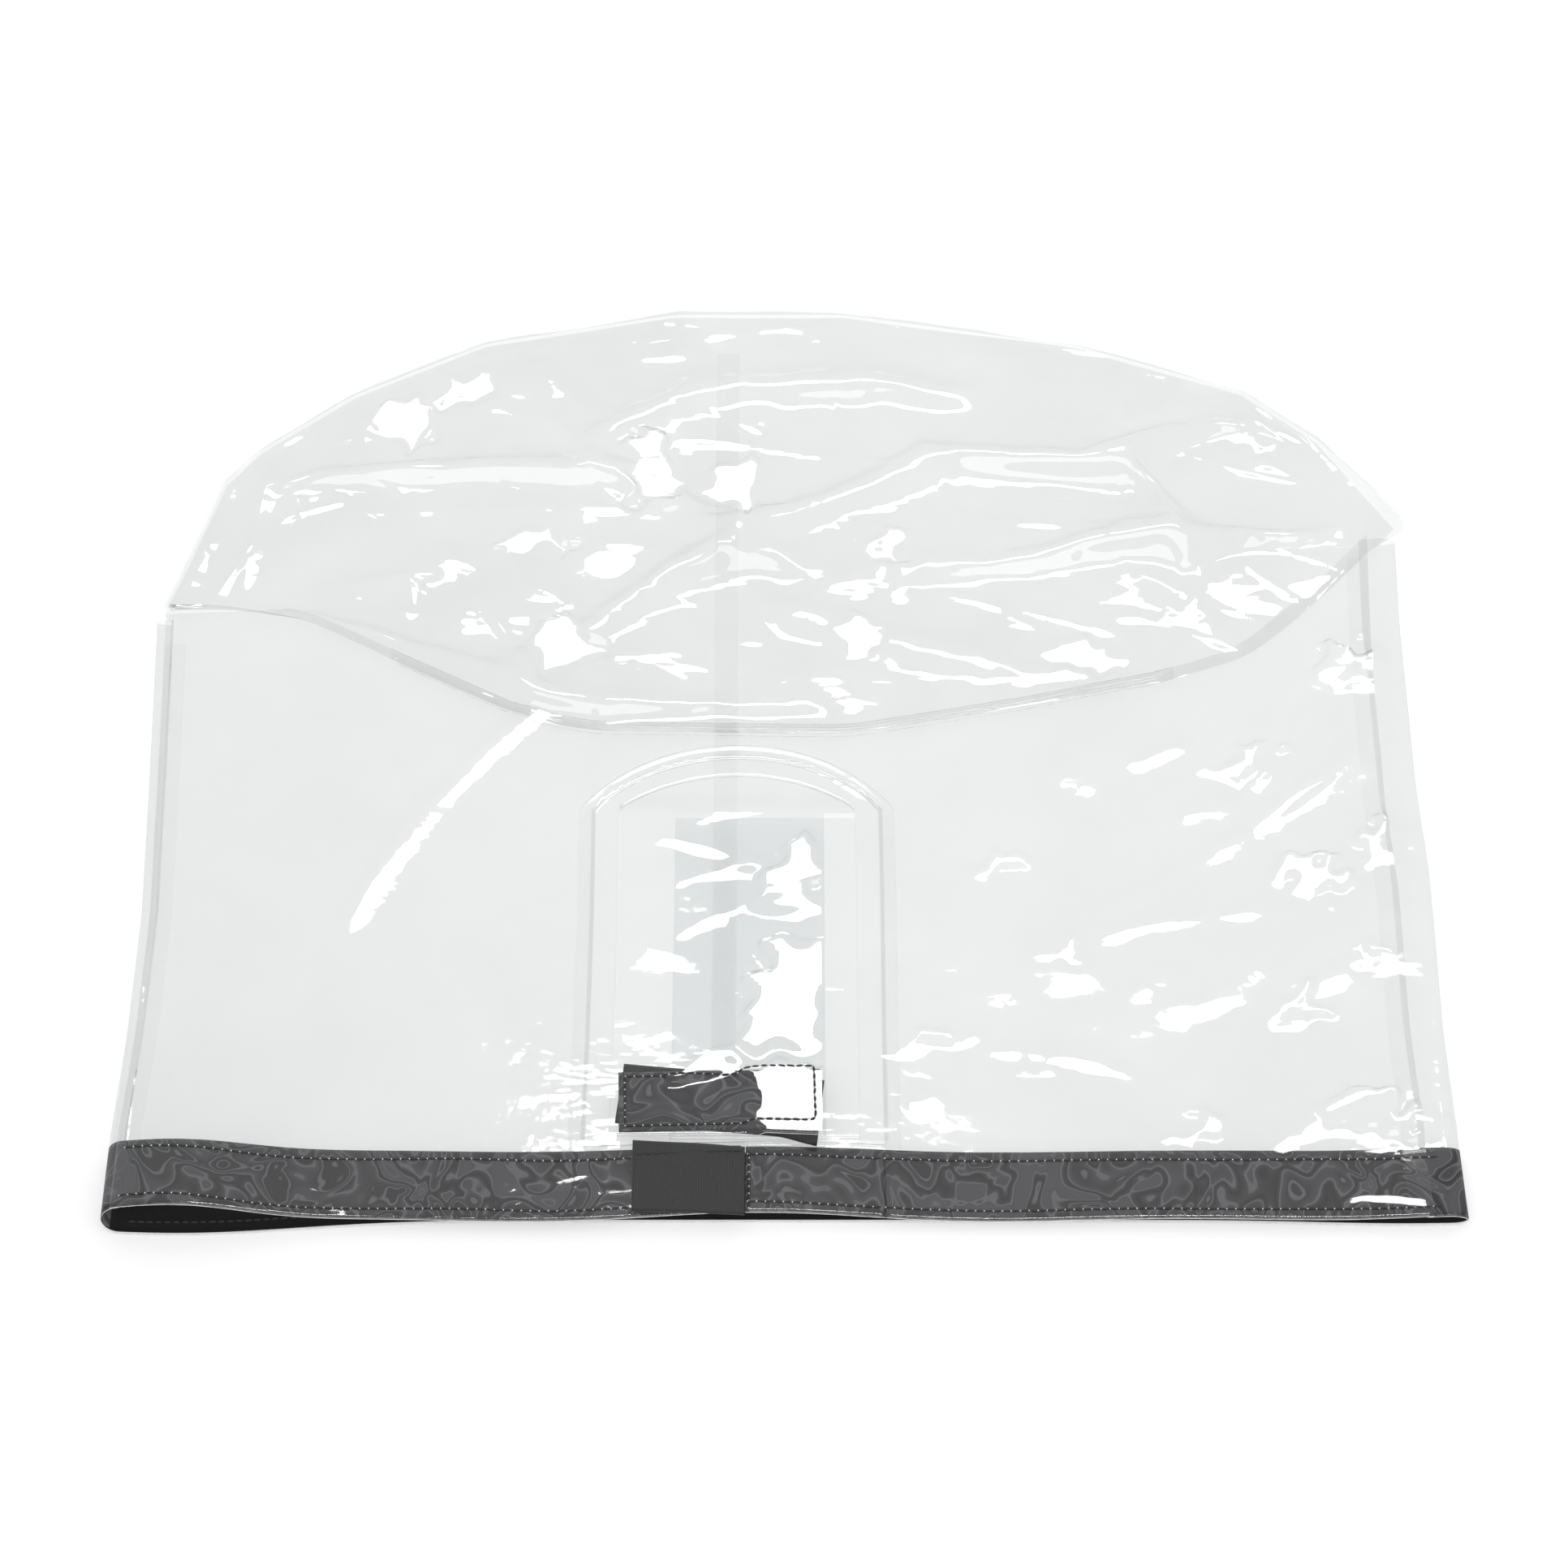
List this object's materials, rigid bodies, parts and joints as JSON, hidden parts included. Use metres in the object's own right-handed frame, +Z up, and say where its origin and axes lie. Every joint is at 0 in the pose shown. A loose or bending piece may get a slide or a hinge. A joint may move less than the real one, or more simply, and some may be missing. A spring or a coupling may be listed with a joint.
{
  "type": "clear slip cover",
  "caption": "Clear film slip cover with a domed crown, a taped hem and an arched access pouch that opens, lying flat.",
  "frame": {"origin": "middle of the footprint, on the surface that the cover lies on", "axes": "+X along the hem to the right, +Y from the hem to the crown, +Z up"},
  "size_m": [0.64, 0.588, 0.0176],
  "materials": {
    "film": "clear glossy PVC film",
    "weld": "clear welded PVC strip",
    "loop_tape": "black woven tape with loop pile",
    "hook_tape": "black woven tape with hooks",
    "tab_tape": "black ribbed tape back",
    "thread": "black sewing thread"
  },
  "bodies": {
    "cover": {"back_panel": "film", "front_panel": "film", "crown_panel": "film", "crown_weld_strip": "weld", "side_weld_left": "weld", "side_weld_right": "weld", "back_seam_strip": "weld", "pouch_weld_strip": "weld", "pouch_gusset": "film", "pouch_head": "film", "underlap_panel": "film", "closure_hook_tape": "hook_tape", "hem_tape": "loop_tape", "hem_loop_patch": "hook_tape", "hem_thread_upper": "thread", "hem_thread_lower": "thread", "hem_thread_back": "thread"},
    "overlap_flap": {"overlap_panel": "film", "closure_loop_tape": "loop_tape", "closure_box_thread": "thread"},
    "hem_strap": {"strap_film": "film", "strap_tape": "loop_tape", "strap_thread": "thread"},
    "hem_tab": {"tab_tape": "tab_tape", "tab_thread": "thread"}
  },
  "joints": [
    {"name": "overlap_open", "type": "hinge", "parent": "cover", "child": "overlap_flap", "pos_m": [-0.0827, -0.153, 0.0138], "axis": [0, -1, 0], "range_deg": [0, 150]},
    {"name": "strap_open", "type": "hinge", "parent": "cover", "child": "hem_strap", "pos_m": [0.0467, -0.273, 0.0109], "axis": [0, 1, 0], "range_deg": [0, 75]},
    {"name": "tab_peel", "type": "hinge", "parent": "hem_strap", "child": "hem_tab", "pos_m": [-0.019, -0.2735, 0.0136], "axis": [0, 1, 0], "range_deg": [0, 150]}
  ]
}
